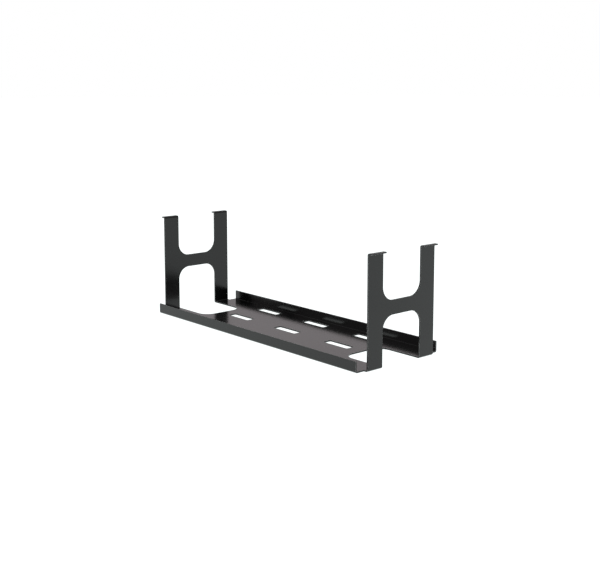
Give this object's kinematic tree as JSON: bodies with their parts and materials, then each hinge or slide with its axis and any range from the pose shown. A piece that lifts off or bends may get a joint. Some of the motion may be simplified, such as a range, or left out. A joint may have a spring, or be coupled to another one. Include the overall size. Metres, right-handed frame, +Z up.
{
  "type": "under-desk cable tray",
  "caption": "Folded sheet-metal cable tray for hanging under a desk: slotted flat base, low side lips, H-shaped end frames and out-turned hooks, in black powder coat.",
  "frame": {"origin": "under the middle of the base, on its underside", "axes": "+X along the tray's length, +Y across it from the front lip to the rear lip, +Z up towards the desk"},
  "size_m": [0.615, 0.202, 0.2],
  "materials": {
    "powder_coat": "semi-gloss black powder coat, fine and smooth, on folded sheet steel"
  },
  "bodies": {
    "root": {"base_front_edge": "powder_coat", "base_front_slat": "powder_coat", "base_rear_slat": "powder_coat", "base_rear_edge": "powder_coat", "slot_webs": "powder_coat", "front_lip": "powder_coat", "rear_lip": "powder_coat", "left_front_arm": "powder_coat", "left_rear_arm": "powder_coat", "right_front_arm": "powder_coat", "right_rear_arm": "powder_coat", "left_end_frame": "powder_coat", "right_end_frame": "powder_coat", "left_front_hook": "powder_coat", "left_rear_hook": "powder_coat", "right_front_hook": "powder_coat", "right_rear_hook": "powder_coat"}
  },
  "joints": []
}
